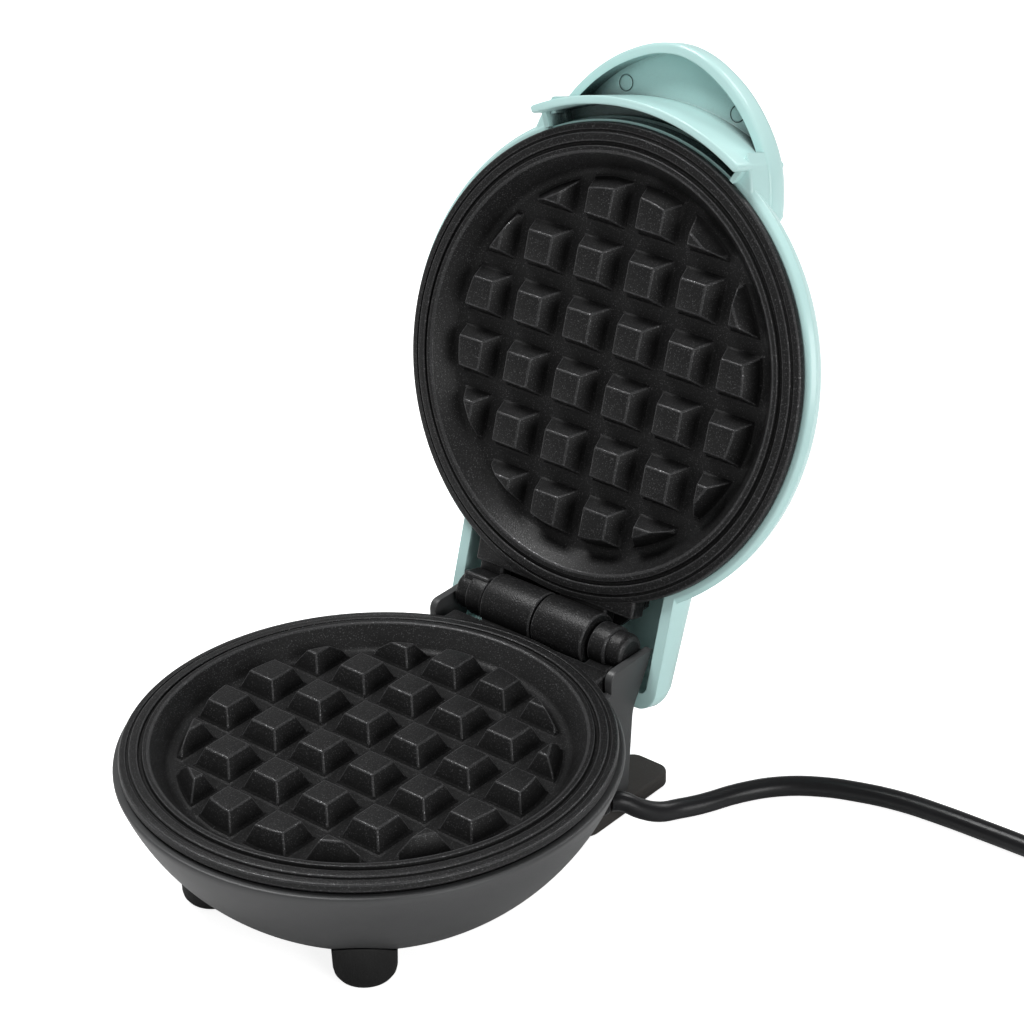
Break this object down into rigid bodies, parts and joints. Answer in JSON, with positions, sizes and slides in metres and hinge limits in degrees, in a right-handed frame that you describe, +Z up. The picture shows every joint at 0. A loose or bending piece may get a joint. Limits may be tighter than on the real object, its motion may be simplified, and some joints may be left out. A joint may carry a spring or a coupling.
{
  "type": "waffle maker",
  "caption": "Small round electric waffle maker, shown open: twin square-grid plates, bowl base on feet, domed hinged lid with a front handle, and a power cord.",
  "frame": {"origin": "middle of the footprint of the open machine without its cord, on the table under the feet", "axes": "+X to the user's right, +Y to the back, towards the hinge, +Z up"},
  "size_m": [0.3481, 0.1922, 0.1802],
  "materials": {
    "blade_brass": "bright",
    "ceramic_body": "matte",
    "clamp_steel": "satin",
    "coated_plate": "black non-stick coating",
    "cord_jacket": "semi-gloss",
    "element_steel": "satin",
    "front_foot_rubber": "matte",
    "fuse_metal": "satin",
    "housing_plastic": "satin",
    "lamp_plastic": "glossy",
    "lead_insulation": "satin",
    "lens_plastic": "glossy",
    "lid_plastic": "glossy",
    "pin_steel": "satin",
    "plug_plastic": "satin",
    "rear_foot_rubber": "matte",
    "screw_steel": "satin",
    "shield_steel": "bright"
  },
  "bodies": {
    "base": {"base_cable_sleeve": "cord_jacket", "base_housing": "housing_plastic", "coil_tie": "cord_jacket", "cord_coil": "cord_jacket", "front_foot_left": "front_foot_rubber", "front_foot_right": "front_foot_rubber", "hinge_pin": "pin_steel", "live_lead": "lead_insulation", "lower_clamp_bar": "clamp_steel", "lower_clamp_screw_left": "screw_steel", "lower_clamp_screw_right": "screw_steel", "lower_element_lead_left": "lead_insulation", "lower_element_lead_right": "lead_insulation", "lower_element_pin_left": "element_steel", "lower_element_pin_right": "element_steel", "lower_heat_shield": "shield_steel", "lower_heating_element": "element_steel", "lower_plate": "coated_plate", "lower_plate_screw_1": "screw_steel", "lower_plate_screw_2": "screw_steel", "lower_plate_screw_3": "screw_steel", "lower_thermal_fuse": "fuse_metal", "lower_thermostat": "ceramic_body", "neutral_lead": "lead_insulation", "plug_blade_far": "blade_brass", "plug_blade_near": "blade_brass", "plug_body": "plug_plastic", "power_cord": "cord_jacket", "rear_foot_left": "rear_foot_rubber", "rear_foot_right": "rear_foot_rubber", "rear_foot_screw_left": "screw_steel", "rear_foot_screw_right": "screw_steel", "strain_relief": "plug_plastic", "terminal_block": "ceramic_body"},
    "lid": {"indicator_lamp": "lamp_plastic", "indicator_lens": "lens_plastic", "lid_cable_sleeve": "cord_jacket", "lid_shell": "lid_plastic", "shield_screw_1": "screw_steel", "shield_screw_2": "screw_steel", "shield_screw_3": "screw_steel", "upper_clamp_bar": "clamp_steel", "upper_clamp_screw_left": "screw_steel", "upper_clamp_screw_right": "screw_steel", "upper_element_lead_left": "lead_insulation", "upper_element_lead_right": "lead_insulation", "upper_element_pin_left": "element_steel", "upper_element_pin_right": "element_steel", "upper_heat_shield": "shield_steel", "upper_heating_element": "element_steel", "upper_plate": "coated_plate", "upper_plate_screw_1": "screw_steel", "upper_plate_screw_2": "screw_steel", "upper_plate_screw_3": "screw_steel", "upper_thermal_fuse": "fuse_metal"}
  },
  "joints": [
    {"name": "lid_hinge", "type": "hinge", "parent": "base", "child": "lid", "pos_m": [0, 0.03322, 0.0415], "axis": [-1, 0, 0], "range_deg": [-107, 0]}
  ]
}
